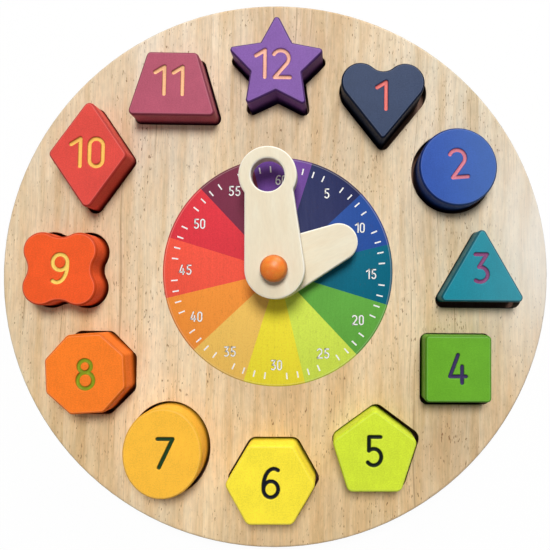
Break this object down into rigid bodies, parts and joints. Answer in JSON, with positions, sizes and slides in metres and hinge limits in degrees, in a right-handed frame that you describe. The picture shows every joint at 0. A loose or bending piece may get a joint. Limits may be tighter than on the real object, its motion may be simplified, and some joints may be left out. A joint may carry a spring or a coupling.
{
  "type": "learning clock toy",
  "caption": "Round wooden learning clock with numbered shape blocks resting in matching recesses and two turning hands held by a domed peg.",
  "frame": {"origin": "middle of the board's back face, on the hands' turning axis", "axes": "+Z out of the dial, +Y towards twelve o'clock, +X towards three o'clock"},
  "size_m": [0.28, 0.28, 0.0365],
  "materials": {
    "board_wood": "clear satin lacquer over pale edge-glued wood with an upright grain",
    "plywood": "sanded, clear lacquer",
    "paint_01": "satin slate-blue paint on wood",
    "paint_02": "satin blue paint on wood",
    "paint_03": "satin teal paint on wood",
    "paint_04": "satin green paint on wood",
    "paint_05": "satin lime paint on wood",
    "paint_06": "satin yellow paint on wood",
    "paint_07": "satin amber paint on wood",
    "paint_08": "satin orange paint on wood",
    "paint_09": "satin red-orange paint on wood",
    "paint_10": "satin red paint on wood",
    "paint_11": "satin rose paint on wood",
    "paint_12": "satin purple paint on wood",
    "hand_wood": "clear satin lacquer over pale wood",
    "knob_paint": "satin orange paint on turned wood",
    "nylon": "smooth, milky",
    "zinc_plate": "zinc plated"
  },
  "bodies": {
    "board": {"face_board": "board_wood", "back_panel": "plywood", "washer_lower": "nylon", "washer_middle": "nylon", "washer_upper": "nylon", "pivot_knob": "knob_paint", "pivot_screw": "zinc_plate"},
    "hour_hand": {"hour_hand": "hand_wood"},
    "minute_hand": {"minute_hand": "hand_wood"},
    "block_01": {"block_01": "paint_01"},
    "block_02": {"block_02": "paint_02"},
    "block_03": {"block_03": "paint_03"},
    "block_04": {"block_04": "paint_04"},
    "block_05": {"block_05": "paint_05"},
    "block_06": {"block_06": "paint_06"},
    "block_07": {"block_07": "paint_07"},
    "block_08": {"block_08": "paint_08"},
    "block_09": {"block_09": "paint_09"},
    "block_10": {"block_10": "paint_10"},
    "block_11": {"block_11": "paint_11"},
    "block_12": {"block_12": "paint_12"}
  },
  "joints": [
    {"name": "hour_turn", "type": "hinge", "parent": "board", "child": "hour_hand", "pos_m": [0, 0, 0.0137], "axis": [0, 0, 1], "continuous": true},
    {"name": "minute_turn", "type": "hinge", "parent": "board", "child": "minute_hand", "pos_m": [0, 0, 0.0221], "axis": [0, 0, 1], "continuous": true},
    {"name": "lift_01", "type": "slide", "parent": "board", "child": "block_01", "axis": [0, 0, 1], "range_m": [0, 0.04]},
    {"name": "lift_02", "type": "slide", "parent": "board", "child": "block_02", "axis": [0, 0, 1], "range_m": [0, 0.04]},
    {"name": "lift_03", "type": "slide", "parent": "board", "child": "block_03", "axis": [0, 0, 1], "range_m": [0, 0.04]},
    {"name": "lift_04", "type": "slide", "parent": "board", "child": "block_04", "axis": [0, 0, 1], "range_m": [0, 0.04]},
    {"name": "lift_05", "type": "slide", "parent": "board", "child": "block_05", "axis": [0, 0, 1], "range_m": [0, 0.04]},
    {"name": "lift_06", "type": "slide", "parent": "board", "child": "block_06", "axis": [0, 0, 1], "range_m": [0, 0.04]},
    {"name": "lift_07", "type": "slide", "parent": "board", "child": "block_07", "axis": [0, 0, 1], "range_m": [0, 0.04]},
    {"name": "lift_08", "type": "slide", "parent": "board", "child": "block_08", "axis": [0, 0, 1], "range_m": [0, 0.04]},
    {"name": "lift_09", "type": "slide", "parent": "board", "child": "block_09", "axis": [0, 0, 1], "range_m": [0, 0.04]},
    {"name": "lift_10", "type": "slide", "parent": "board", "child": "block_10", "axis": [0, 0, 1], "range_m": [0, 0.04]},
    {"name": "lift_11", "type": "slide", "parent": "board", "child": "block_11", "axis": [0, 0, 1], "range_m": [0, 0.04]},
    {"name": "lift_12", "type": "slide", "parent": "board", "child": "block_12", "axis": [0, 0, 1], "range_m": [0, 0.04]}
  ]
}
